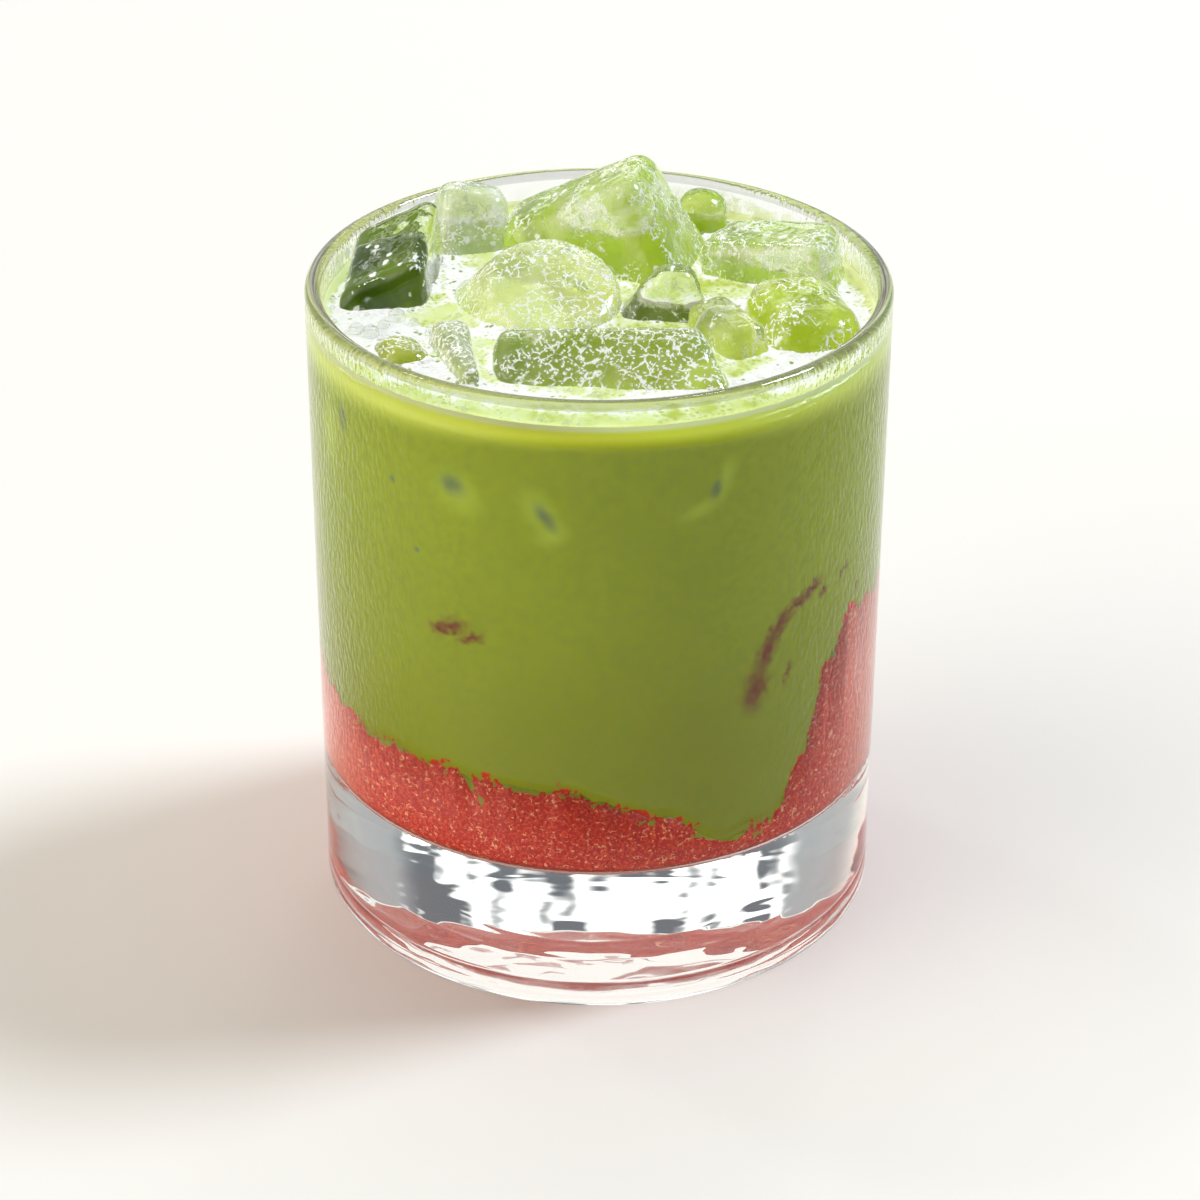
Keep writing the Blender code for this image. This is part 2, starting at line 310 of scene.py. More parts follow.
class Graph:
    """A material's nodes, with short calls that make and link them."""

    def __init__(self, name):
        self.material = bpy.data.materials.new(name)
        self.material.use_nodes = True
        self.tree = self.material.node_tree
        self.shader = self.tree.nodes["Principled BSDF"]
        self.output = self.tree.nodes["Material Output"]
        self.coords = self.node("ShaderNodeTexCoord").outputs["Object"]

    def node(self, kind, inputs=(), **settings):
        made = self.tree.nodes.new(kind)
        for key, value in settings.items():
            setattr(made, key, value)
        for key, value in dict(inputs).items():
            self.put(made.inputs[key], value)
        return made

    def put(self, socket, value):
        if isinstance(value, bpy.types.NodeSocket):
            self.tree.links.new(value, socket)
        else:
            socket.default_value = value

    def set(self, **values):
        for key, value in values.items():
            self.put(self.shader.inputs[key.replace("_", " ")], value)

    def math(self, operation, a, b=0.0, clamp=False):
        made = self.node("ShaderNodeMath", {0: a, 1: b}, operation=operation)
        made.use_clamp = clamp
        return made.outputs[0]

    def ramp(self, value, low, high, out_low=0.0, out_high=1.0):
        """value from low to high, eased, as out_low to out_high."""
        made = self.node("ShaderNodeMapRange", {
            "Value": value, "From Min": low, "From Max": high,
            "To Min": out_low, "To Max": out_high}, interpolation_type='SMOOTHSTEP')
        return made.outputs["Result"]

    def noise(self, size_mm, detail=3.0, rough=0.5, vector=None):
        made = self.node("ShaderNodeTexNoise", {
            "Vector": vector or self.coords, "Scale": 1.0 / (size_mm * MM),
            "Detail": detail, "Roughness": rough})
        return made.outputs["Fac"]

    def warped(self, size_mm, amount_mm):
        """The object's coordinates, pushed about by noise."""
        made = self.node("ShaderNodeTexNoise", {
            "Vector": self.coords, "Scale": 1.0 / (size_mm * MM), "Detail": 2.0})
        centred = self.node("ShaderNodeVectorMath", {
            0: made.outputs["Color"], 1: (0.5, 0.5, 0.5)}, operation='SUBTRACT')
        pushed = self.node("ShaderNodeVectorMath", {
            0: centred.outputs[0], "Scale": amount_mm * MM}, operation='SCALE')
        return self.node("ShaderNodeVectorMath", {
            0: self.coords, 1: pushed.outputs[0]}, operation='ADD').outputs[0]

    def stretched(self, scale):
        """The object's coordinates, drawn out along an axis."""
        return self.node("ShaderNodeVectorMath", {0: self.coords, 1: scale},
                         operation='MULTIPLY').outputs[0]

    def wall_place(self, ragged_mm=0.0, size_mm=1.6):
        """Millimetres round the wall from the front towards +X, and up from the floor."""
        source = self.warped(size_mm, ragged_mm) if ragged_mm else self.coords
        split = self.node("ShaderNodeSeparateXYZ", {0: source})
        back = self.math('MULTIPLY', split.outputs[1], -1.0)
        turn = self.math('ARCTAN2', split.outputs[0], back)
        around = self.math('MULTIPLY', turn, INNER_RADIUS / MM)
        return around, self.math('MULTIPLY', split.outputs[2], 1.0 / MM)

    def mark(self, place, degrees, height, half_width, half_height, lean=0.0, soft=0.5):
        """A soft oval mark on the wall; lean turns its top towards +X, in degrees."""
        turn = math.radians(lean)
        across = self.math('SUBTRACT', place[0], math.radians(degrees) * INNER_RADIUS / MM)
        up = self.math('SUBTRACT', place[1], height)
        terms = []
        for share_across, share_up, half in ((math.cos(turn), -math.sin(turn), half_width),
                                             (math.sin(turn), math.cos(turn), half_height)):
            part = self.math('ADD', self.math('MULTIPLY', across, share_across / half),
                             self.math('MULTIPLY', up, share_up / half))
            terms.append(self.math('POWER', self.math('ABSOLUTE', part), 2.0))
        reach = self.math('SQRT', self.math('ADD', *terms))
        return self.ramp(reach, 1.0, 1.0 - soft)

    def cells(self, size_mm, feature='F1', vector=None):
        made = self.node("ShaderNodeTexVoronoi", {
            "Vector": vector or self.coords, "Scale": 1.0 / (size_mm * MM)}, feature=feature)
        return made.outputs["Distance"]

    def mix(self, share, a, b):
        """Mix two colours."""
        made = self.node("ShaderNodeMix", data_type='RGBA')
        self.put(made.inputs["Factor"], share)
        self.put(made.inputs[6], a if isinstance(a, bpy.types.NodeSocket) else (*a, 1.0))
        self.put(made.inputs[7], b if isinstance(b, bpy.types.NodeSocket) else (*b, 1.0))
        return made.outputs[2]

    def bump(self, height, strength, depth_mm, under=None):
        made = self.node("ShaderNodeBump", {
            "Height": height, "Strength": strength, "Distance": depth_mm * MM})
        if under:
            self.put(made.inputs["Normal"], under)
        return made.outputs["Normal"]

    def axes(self):
        split = self.node("ShaderNodeSeparateXYZ", {0: self.coords})
        return split.outputs[0], split.outputs[1], split.outputs[2]

    def let_light_in(self, surface, tint=(1.0, 1.0, 1.0)):
        """Rays from lamps and from matt surfaces go straight through the clear body."""
        clear = self.node("ShaderNodeBsdfTransparent", {"Color": (*tint, 1.0)}).outputs[0]
        path = self.node("ShaderNodeLightPath")
        inner = self.node("ShaderNodeMixShader", {
            0: path.outputs["Is Diffuse Ray"], 1: surface, 2: clear}).outputs[0]
        outer = self.node("ShaderNodeMixShader", {
            0: path.outputs["Is Shadow Ray"], 1: inner, 2: clear}).outputs[0]
        self.tree.links.new(outer, self.output.inputs["Surface"])


def glass_material():
    graph = Graph("tumbler_glass")
    damp = graph.noise(0.7, 1.0, 0.5, graph.stretched((1.0, 1.0, 0.55)))
    x, y, z = graph.axes()
    side = graph.math('ABSOLUTE', x)
    share = graph.math('MULTIPLY', graph.ramp(side, 14.0 * MM, 30.0 * MM),
                       graph.ramp(z, FLOOR_HEIGHT, FLOOR_HEIGHT + 8.0 * MM))
    foot = graph.ramp(z, FLOOR_HEIGHT, FLOOR_HEIGHT - 3.0 * MM)
    wavy = graph.bump(graph.noise(9.0, 1.0), graph.math('MULTIPLY', foot, 0.14), 1.0)
    graph.set(Base_Color=(0.965, 0.995, 0.975, 1.0), Roughness=0.0, IOR=1.5,
              Transmission_Weight=1.0, Specular_Tint=(0.25, 0.25, 0.25, 1.0),
              Normal=graph.bump(damp, share, 0.18, wavy))
    graph.let_light_in(graph.shader.outputs[0], (0.97, 0.97, 0.96))
    return graph.material


def wetted_glass_material(name, bending, strength):
    """The inner face of the glass under the drink, where light bends far less."""
    graph = Graph(name)
    ripple = graph.noise(7.0, 2.0)
    graph.set(Base_Color=(0.985, 1.0, 0.985, 1.0), Roughness=0.0, IOR=bending,
              Transmission_Weight=1.0, Normal=graph.bump(ripple, strength, 0.6))
    graph.let_light_in(graph.shader.outputs[0])
    return graph.material


def rim_material():
    graph = Graph("rim_glass")
    # The rim's grey colour is a painted reflection of the darker room, which the rim shows at the
    # left and right.
    graph.set(Base_Color=(0.66, 0.67, 0.70, 1.0), Roughness=0.02, IOR=1.5,
              Transmission_Weight=0.85, Normal=graph.bump(graph.noise(12.0, 1.0), 0.1, 0.3))
    graph.let_light_in(graph.shader.outputs[0], (0.97, 0.97, 0.96))
    return graph.material


def puree_colour(graph):
    grain = graph.noise(0.45, 4.0, 0.7)
    patch = graph.noise(5.0, 3.0)
    deep = graph.mix(patch, (0.45, 0.002, 0.0005), (0.60, 0.010, 0.002))
    pulp = graph.mix(graph.ramp(grain, 0.45, 0.62), deep, (0.80, 0.075, 0.020))
    fleck = graph.ramp(graph.cells(0.62, 'DISTANCE_TO_EDGE', graph.warped(0.8, 1.0)), 0.13, 0.04)
    some = graph.ramp(graph.noise(0.7, 2.0), 0.56, 0.64)
    colour = graph.mix(graph.math('MULTIPLY', fleck, some), pulp, (0.95, 0.42, 0.22))
    seed = graph.ramp(graph.cells(1.5), 0.11, 0.05)
    colour = graph.mix(seed, colour, (0.16, 0.01, 0.004))
    x, y, z = graph.axes()
    # Paler towards the left and right: a painted haze of light from the damp glass at the sides.
    side = graph.ramp(graph.math('ABSOLUTE', x), 29.0 * MM, 38.5 * MM, 0.0, 0.5)
    return graph.mix(side, colour, (0.86, 0.30, 0.19)), grain


def in_puree(graph, place):
    """1 in the fruit and 0 in the milk, with a fine fringe where they meet at the wall."""
    edge = graph.node("ShaderNodeAttribute", attribute_name="edge").outputs["Fac"]
    for size, amount in ((3.2, 7.0), (0.9, 4.5)):
        wave = graph.math('SUBTRACT', graph.noise(size, 3.0, 0.6), 0.5)
        edge = graph.math('ADD', edge, graph.math('MULTIPLY', wave, amount))
    for drip in DRIPS:
        edge = graph.math('ADD', edge, graph.math('MULTIPLY', graph.mark(place, *drip), 9.0))
    return graph.ramp(edge, 0.12, -0.12)


def puree_material():
    graph = Graph("fruit_puree")
    red, grain = puree_colour(graph)
    x, y, z = graph.axes()
    across = graph.math('ADD', graph.math('MULTIPLY', x, x), graph.math('MULTIPLY', y, y))
    # Darker where the puree meets the glass floor at the wall: painted shade in the corner.
    rim = graph.ramp(graph.math('SQRT', across), INNER_RADIUS - 2.2 * MM, INNER_RADIUS - 1.2 * MM)
    low = graph.ramp(z, FLOOR_HEIGHT + 2.2 * MM, FLOOR_HEIGHT + 0.8 * MM, 0.0, 0.8)
    red = graph.mix(graph.math('MULTIPLY', low, rim), red, (0.12, 0.008, 0.003))
    share = in_puree(graph, graph.wall_place(1.8, 1.1))
    colour = graph.mix(share, (0.26, 0.29, 0.003), red)
    graph.set(Base_Color=colour, Roughness=0.4, Normal=graph.bump(grain, 0.5, 0.15))
    return graph.material


def milk_colour(graph):
    """The milk by height: deep green, darker and yellower lower down, the darkening being painted
    shade; a painted glow of light in a band under the level; pale at the very top.
    """
    x, y, z = graph.axes()
    low = graph.mix(graph.noise(14.0, 2.0), (0.225, 0.250, 0.001), (0.265, 0.298, 0.002))
    high = graph.mix(graph.noise(14.0, 2.0), (0.270, 0.330, 0.001), (0.320, 0.395, 0.003))
    # Darker lower down: painted shade, as less light reaches the milk from the top.
    green = graph.mix(graph.ramp(z, 30.0 * MM, 74.0 * MM), low, high)
    fine = graph.noise(1.2, 4.0, 0.6)
    green = graph.mix(graph.ramp(fine, 0.38, 0.68, 0.0, 0.42), green, (0.20, 0.262, 0.003))
    speck = graph.ramp(graph.cells(1.5), 0.09, 0.05)
    green = graph.mix(graph.math('MULTIPLY', speck, 0.5), green, (0.10, 0.12, 0.01))
    # A painted glow of light in a band under the level, deeper and paler at the left and right.
    side = graph.math('POWER', graph.math('ABSOLUTE', graph.math('DIVIDE', x, INNER_RADIUS)), 2.0)
    reach = graph.math('ADD', 3.4 * MM, graph.math('MULTIPLY', side, 4.0 * MM))
    start = graph.math('SUBTRACT', LEVEL, reach)
    glow = graph.ramp(z, start, LEVEL - 0.4 * MM, 0.0, 0.92)
    green = graph.mix(graph.math('POWER', glow, 1.5), green,
                      graph.mix(side, (0.86, 0.95, 0.06), (0.66, 0.78, 0.16)))
    return graph.mix(graph.ramp(z, LEVEL - 0.2 * MM, LEVEL + 0.6 * MM), green,
                     (0.86, 0.93, 0.45))


def latte_material():
    graph = Graph("matcha_latte")
    green = milk_colour(graph)
    place = graph.wall_place(1.1)
    ragged_place = graph.wall_place(2.6, 1.1)
    # Painted glow of light and painted shade where clear ice touches the wall, then the fruit's
    # own red.
    for shade, marks, spot, amount in (((0.42, 0.53, 0.03), GLOW_MARKS, place, 0.75),
                                       ((0.13, 0.18, 0.07), ICE_SHADE_MARKS, place, 0.9),
                                       ((0.17, 0.02, 0.006), FRUIT_MARKS, ragged_place, 0.95)):
        for mark in marks:
            share = graph.math('MULTIPLY', graph.mark(spot, *mark), amount)
            green = graph.mix(share, green, shade)
    red = graph.mix(graph.noise(0.45, 2.0, 0.7), (0.42, 0.004, 0.001), (0.74, 0.05, 0.014))
    green = graph.mix(in_puree(graph, ragged_place), green, red)
    top = graph.node("ShaderNodeAttribute", attribute_name="top").outputs["Fac"]
    liquid = graph.mix(graph.ramp(graph.noise(5.0, 3.0), 0.35, 0.65),
                       (0.50, 0.60, 0.06), (0.74, 0.84, 0.30))
    green = graph.mix(top, green, liquid)
    # In the pockets round the ice: lit and shaded copies of the milk colour, painted light and
    # shade set for each piece of ice.
    pocket = graph.node("ShaderNodeAttribute", attribute_name="pocket")
    share = graph.node("ShaderNodeAttribute", attribute_name="in_pocket").outputs["Fac"]
    green = graph.mix(share, green, pocket.outputs["Color"])
    foam = graph.node("ShaderNodeAttribute", attribute_name="foam").outputs["Fac"]
    froth = graph.cells(0.8, 'F1', graph.warped(2.0, 1.0))
    lace = graph.math('ADD', foam, graph.ramp(froth, 0.1, 0.6, -0.25, 0.25))
    hole = graph.math('MULTIPLY', graph.ramp(graph.cells(1.25, 'F1', graph.warped(1.5, 0.8)),
                                             0.34, 0.22),
                      graph.ramp(graph.noise(2.8, 1.0), 0.50, 0.58))
    white = graph.mix(hole, (1.0, 0.99, 0.94), (0.30, 0.38, 0.12))
    haze = graph.math('MULTIPLY', top, graph.ramp(lace, 0.0, 0.5, 0.0, 0.85))
    green = graph.mix(haze, green, (0.82, 0.90, 0.52))
    colour = graph.mix(graph.ramp(lace, 0.40, 0.70), green, white)
    graph.set(Base_Color=colour, Roughness=0.15, IOR=1.36,
              Normal=graph.bump(froth, graph.math('MULTIPLY', foam, 0.6), 0.2))
    return graph.material


def ice_material(name, web, veil, colour):
    """Clear ice with a milky body and a lace of foam, with white spots that are frost and painted
    highlights; web and veil say how much.
    """
    graph = Graph(name)
    moved = graph.warped(2.4, 1.6)
    line = graph.ramp(graph.cells(1.5, 'DISTANCE_TO_EDGE', moved), 0.10, 0.045)
    speck = graph.ramp(graph.cells(0.62, 'F1', moved), 0.34, 0.22)
    patch = graph.ramp(graph.noise(5.5, 2.0, 0.6), 0.62 - 0.30 * web, 0.74 - 0.30 * web)
    broken = graph.ramp(graph.noise(0.9, 2.0), 0.42, 0.56)
    lace = graph.math('MULTIPLY', graph.math('MAXIMUM', graph.math('MULTIPLY', line, broken),
                                             graph.math('MULTIPLY', speck, 0.9)), patch)
    # White spots of frost that also stand in for small highlights: partly painted highlights.
    spot = graph.ramp(graph.cells(2.3, 'F1', graph.warped(1.2, 1.2)), 0.24, 0.17)
    spot = graph.math('MULTIPLY', spot, graph.ramp(graph.noise(4.5, 1.0), 0.50, 0.56))
    lace = graph.math('MAXIMUM', lace, spot)
    cloud = graph.ramp(graph.noise(7.0, 3.0, 0.6), 0.32, 0.70, 0.35 * veil, 1.25 * veil)
    normal = graph.bump(graph.noise(2.6, 2.0, 0.5), 0.35, 0.35)
    graph.set(Base_Color=(0.96, 1.0, 0.87, 1.0), Roughness=0.02, IOR=1.31,
              Transmission_Weight=1.0, Coat_Weight=0.7, Coat_Roughness=0.02, Coat_IOR=1.45,
              Normal=normal, Coat_Normal=normal)
    milk = graph.node("ShaderNodeBsdfPrincipled", {
        "Base Color": (*colour, 1.0), "Roughness": 0.12, "Coat Weight": 0.6,
        "Coat Roughness": 0.02, "Normal": normal})
    froth = graph.node("ShaderNodeBsdfPrincipled", {
        "Base Color": (0.96, 0.99, 0.90, 1.0), "Roughness": 0.3, "Normal": normal})
    body = graph.node("ShaderNodeMixShader", {
        0: cloud, 1: graph.shader.outputs[0], 2: milk.outputs[0]}).outputs[0]
    surface = graph.node("ShaderNodeMixShader", {
        0: lace, 1: body, 2: froth.outputs[0]}).outputs[0]
    graph.let_light_in(surface)
    return graph.material


def bubble_material():
    graph = Graph("foam_bubbles")
    # White towards the edges, by how much each spot faces away: a painted reflection on the clear
    # bubbles.
    edge = graph.node("ShaderNodeLayerWeight", {"Blend": 0.4}).outputs["Facing"]
    rim = graph.ramp(edge, 0.25, 0.75)
    graph.set(Base_Color=graph.mix(rim, (0.36, 0.46, 0.26), (0.98, 0.99, 0.95)), Roughness=0.05,
              Coat_Weight=1.0, Coat_Roughness=0.02, Alpha=graph.ramp(rim, 0.0, 1.0, 0.12, 0.85))
    return graph.material


def film_material():
    """Milk left on the inner wall above the level, thin and streaky, with white blobs that are
    milk splashes and painted wet highlights.
    """
    graph = Graph("milk_film")
    streak = graph.noise(3.2, 4.0, 0.65, graph.stretched((1.0, 1.0, 0.6)))
    blob = graph.ramp(graph.cells(2.6, 'F1', graph.warped(2.0, 1.4)), 0.36, 0.26)
    cover = graph.node("ShaderNodeAttribute", attribute_name="cover").outputs["Fac"]
    share = graph.math('MULTIPLY', cover, graph.ramp(streak, 0.42, 0.62, 0.15, 0.85))
    # White blobs: milk splashes and painted wet highlights.
    white = graph.math('MULTIPLY', blob, graph.ramp(cover, 0.2, 0.6))
    graph.set(Base_Color=graph.mix(white, (0.80, 0.90, 0.50), (0.97, 0.98, 0.95)),
              Roughness=0.1, Coat_Weight=1.0, Coat_Roughness=0.02,
              Alpha=graph.math('MAXIMUM', share, white, clamp=True))
    return graph.material


def floor_material():
    graph = Graph("pale_floor")
    tone = graph.noise(400.0, 2.0)
    graph.set(Base_Color=graph.mix(tone, (0.955, 0.905, 0.855), (0.965, 0.915, 0.867)),
              Roughness=0.9, Specular_IOR_Level=0.0)
    return graph.material


def make_glass():
    lip = (GLASS_RADIUS - INNER_RADIUS) / 2
    punt = []
    for step in range(1, PUNT_STEPS + 1):
        share = step / PUNT_STEPS
        wave = sum(math.exp(-((PUNT_RADIUS * share - ridge) / PUNT_RIDGE_WIDTH) ** 2)
                   for ridge in PUNT_RIDGES)
        punt.append((PUNT_RADIUS * share, PUNT_RISE * (1 - share ** 2) + PUNT_RIDGE * wave))
    foot = arc((GLASS_RADIUS - FOOT_ROUNDING, FOOT_ROUNDING), FOOT_ROUNDING, -90, 0)
    side = []
    for ridge in FOOT_GROOVES:
        for step in range(-GROOVE_STEPS, GROOVE_STEPS + 1):
            dip = FOOT_GROOVE * (0.5 + 0.5 * math.cos(math.pi * step / GROOVE_STEPS))
            side.append((GLASS_RADIUS - dip, ridge + FOOT_GROOVE_WIDTH * step / GROOVE_STEPS))
    rim = arc((INNER_RADIUS + lip, GLASS_HEIGHT - lip), lip, 0, 180, 2 * ARC_STEPS)
    floor = arc((INNER_RADIUS - FLOOR_ROUNDING, FLOOR_HEIGHT + FLOOR_ROUNDING),
                FLOOR_ROUNDING, 0, -90)
    dry = punt + foot + side + rim
    wet = [(INNER_RADIUS, LEVEL + MENISCUS / 2)] + floor + [(PINK_RADIUS, FLOOR_HEIGHT)]
    rings = [turned_ring(radius, height, GLASS_STEPS) for radius, height in dry + wet]
    mesh = rings_to_mesh("tumbler", rings)
    materials = [glass_material(), wetted_glass_material("wetted_glass", 1.12, 0.5),
                 wetted_glass_material("wetted_floor_edge", 1.055, 0.5), rim_material()]
    add_piece("tumbler", mesh, materials, ["glass"])
    for face in mesh.polygons:
        middle = face.center
        reach = math.hypot(middle.x, middle.y)
        is_inside = FLOOR_HEIGHT / 2 < middle.z < LEVEL and reach < INNER_RADIUS + 0.1 * MM
        is_edge = is_inside and PINK_RADIUS < reach and middle.z < FLOOR_HEIGHT + 0.2 * MM
        is_rim = middle.z > GLASS_HEIGHT - 1.3 * lip
        face.material_index = 2 if is_edge else 1 if is_inside else 3 if is_rim else 0


def edge_height(angle):
    """Height of the puree at the wall in millimetres, eased between the named heights."""
    start = PUREE_EDGE[0][0]
    angle = (angle - start) % 360.0 + start
    keys = PUREE_EDGE + ((start + 360.0, PUREE_EDGE[0][1]),)
    for (angle_a, height_a), (angle_b, height_b) in zip(keys, keys[1:]):
        if angle <= angle_b:
            share = (angle - angle_a) / (angle_b - angle_a)
            return height_a + (height_b - height_a) * share * share * (3.0 - 2.0 * share)
    return keys[-1][1]


def ragged(angle):
    """Small tongues and bays along the puree's edge, in millimetres."""
    turn = math.radians(angle)
    spot = Vector((math.sin(turn), math.cos(turn), 0.3))
    return sum(tall * noise.noise(spot * often) for tall, often in PUREE_WAVES)


def puree_height(angle, reach):
    rise = edge_height(angle) - PUREE_MIDDLE
    return (PUREE_MIDDLE + rise * reach ** 2 + ragged(angle) * reach ** 6) * MM


def layer_rings(radius, lift, count):
    """Rings of the puree's top, from the wall in to the middle."""
    rings = []
    for row in range(count, 0, -1):
        reach = row / count
        ring = []
        for step in range(DRINK_STEPS):
            angle = 360.0 * step / DRINK_STEPS
            turn = math.radians(angle)
            ring.append((radius * reach * math.sin(turn), -radius * reach * math.cos(turn),
                         puree_height(angle, reach) + lift))
        rings.append(ring)
    return rings


def edge_line():
    """Where the puree ends along the wall, for each step round it, in millimetres."""
    angles = [360.0 * step / DRINK_STEPS for step in range(DRINK_STEPS + 1)]
    return np.array(angles), np.array([edge_height(angle) + ragged(angle) for angle in angles])


def store_edge(mesh):
    """How far each corner lies above the end of the puree, in millimetres."""
    corners = corners_of(mesh)
    angles, heights = edge_line()
    around = np.degrees(np.arctan2(corners[:, 0], -corners[:, 1])) % 360.0
    store_numbers(mesh, "edge", corners[:, 2] / MM - np.interp(around, angles, heights))


def make_puree():
    radius = INNER_RADIUS + PUREE_REACH
    low = FLOOR_HEIGHT + FLOOR_GAP
    foot = arc((radius - FLOOR_ROUNDING, low + FLOOR_ROUNDING), FLOOR_ROUNDING, -90, 0)
    rings = [turned_ring(reach, height, DRINK_STEPS) for reach, height in foot]
    rings += layer_rings(radius, 0.0, PUREE_ROWS)
    mesh = rings_to_mesh("puree_layer", rings)
    store_edge(mesh)
    add_piece("puree_layer", mesh, puree_material(), ["red_puree"])


def evaluated_copy(obj, name):
    """The object's mesh with its modifiers applied, as a new mesh."""
    depsgraph = bpy.context.evaluated_depsgraph_get()
    mesh = bpy.data.meshes.new_from_object(obj.evaluated_get(depsgraph), depsgraph=depsgraph)
    mesh.name = name
    return mesh


def corners_of(mesh):
    flat = np.empty(len(mesh.vertices) * 3, np.float32)
    mesh.vertices.foreach_get("co", flat)
    return flat.reshape(-1, 3)


def normals_of(mesh):
    flat = np.empty(len(mesh.vertices) * 3, np.float32)
    mesh.vertex_normals.foreach_get("vector", flat)
    return flat.reshape(-1, 3)


def move_corners(mesh, corners):
    mesh.vertices.foreach_set("co", np.asarray(corners, np.float32).ravel())
    mesh.update()


def melted(node, bump, seed, softness):
    """A CAD piece of ice with a finer, smoother and gently uneven surface."""
    obj = bpy.data.objects.new("melting", frame["nodes"][node].data.copy())
    bpy.context.scene.collection.objects.link(obj)
    remesh = obj.modifiers.new("even", 'REMESH')
    remesh.mode = 'VOXEL'
    remesh.voxel_size = ICE_VOXEL
    smooth = obj.modifiers.new("smooth", 'SMOOTH')
    smooth.factor = 0.5
    smooth.iterations = softness
    mesh = evaluated_copy(obj, node + "_melted")
    bpy.data.objects.remove(obj)
    shift = Vector((seed * 7.1, seed * 3.3, 0.0))
    corners = corners_of(mesh)
    swell = [noise.noise(Vector(spot) / (4.2 * MM) + shift)
             + 0.35 * noise.noise(Vector(spot) / (1.5 * MM) + shift) for spot in corners]
    push = np.array(swell)[:, None] * bump + ICE_GROWTH
    move_corners(mesh, corners + normals_of(mesh) * push)
    return mesh


def tree_of(meshes):
    """One search tree of all the meshes, and the first face of each."""
    corners, faces, starts = [], [], []
    for mesh in meshes:
        first = len(corners)
        starts.append(len(faces))
        corners += corners_of(mesh).tolist()
        faces += [[first + index for index in poly.vertices] for poly in mesh.polygons]
    return BVHTree.FromPolygons(corners, faces), starts


def make_ice():
    meshes = {}
    for seed, name in enumerate(ICE_NAMES):
        mesh = melted(name, ICE_BUMP, seed, 1 if name in CRISP_ICE else ICE_SOFTNESS)
        web, veil, colour, _ = ICE_LOOKS[name]
        add_piece(name.replace("ice_", "clear_ice_"), mesh,
                  ice_material("look_" + name, web, veil, colour), [name])
        meshes[name] = mesh
    return meshes


def store_numbers(mesh, name, values):
    """Store one number for each corner, for the materials to read."""
    stored = mesh.attributes.new(name, 'FLOAT', 'POINT')
    stored.data.foreach_set("value", np.asarray(values, np.float32))


def store_colours(mesh, name, colours):
    """Store one colour for each corner, for the materials to read."""
    stored = mesh.attributes.new(name, 'FLOAT_COLOR', 'POINT')
    stored.data.foreach_set("color", np.asarray(colours, np.float32).ravel())


def make_latte(ice_meshes, ice_tree, starts):
    radius = INNER_RADIUS + LATTE_REACH
    underside = list(reversed(layer_rings(radius, -LAYER_OVERLAP, UNDERSIDE_ROWS)))
    wall = []
    for row in range(1, WALL_ROWS):
        share = row / WALL_ROWS
        ring = []
        for x, y, z in underside[-1]:
            ring.append((x, y, z + (LEVEL + MENISCUS - z) * share))
        wall.append(ring)
    top = []
    for row in range(TOP_ROWS, 0, -1):
        reach = (row / TOP_ROWS) ** TOP_SPREAD
        ring = []
        for x, y, _ in turned_ring(radius * reach, LEVEL, DRINK_STEPS):
            depth = radius * (1 - reach)
            rise = MENISCUS * math.exp(-depth / MENISCUS_WIDTH * 1.6)
            spot = Vector((x, y, LEVEL))
            near = ice_tree.find_nearest(spot)[3]
            rise = max(rise, ICE_MENISCUS * math.exp(-near / ICE_MENISCUS_WIDTH))
            rise += RIPPLE * noise.noise(spot / RIPPLE_SIZE)
            froth = min(1.0, max(0.0, foam_amount(x, y, near, depth) - FOAM_START))
            rise += froth * (FOAM_LIFT + FOAM_ROUGHNESS * noise.noise(spot / FOAM_GRAIN)) * MM
            ring.append((x, y, LEVEL + rise))
        top.append(ring)
    mesh = rings_to_mesh("latte_body", underside + wall + top)
    latte = bpy.data.objects.new("latte_raw", mesh)
    bpy.context.scene.collection.objects.link(latte)
    cutters = bpy.data.collections.new("cutters")
    bpy.context.scene.collection.children.link(cutters)
    for name, ice in ice_meshes.items():
        shrunk = ice.copy()
        move_corners(shrunk, corners_of(ice) - normals_of(ice) * LATTE_REACH)
        cutter = bpy.data.objects.new("cut_" + name, shrunk)
        cutters.objects.link(cutter)
    cut = latte.modifiers.new("pockets", 'BOOLEAN')
    cut.operation = 'DIFFERENCE'
    cut.operand_type = 'COLLECTION'
    cut.collection = cutters
    cut.solver = 'MANIFOLD'
    cut_mesh = evaluated_copy(latte, "latte_layer")
    for obj in list(cutters.objects) + [latte]:
        bpy.data.objects.remove(obj)
    bpy.data.collections.remove(cutters)
    shade_latte(cut_mesh, ice_tree, starts)
    add_piece("latte_layer", cut_mesh, latte_material(), ["green_latte"])


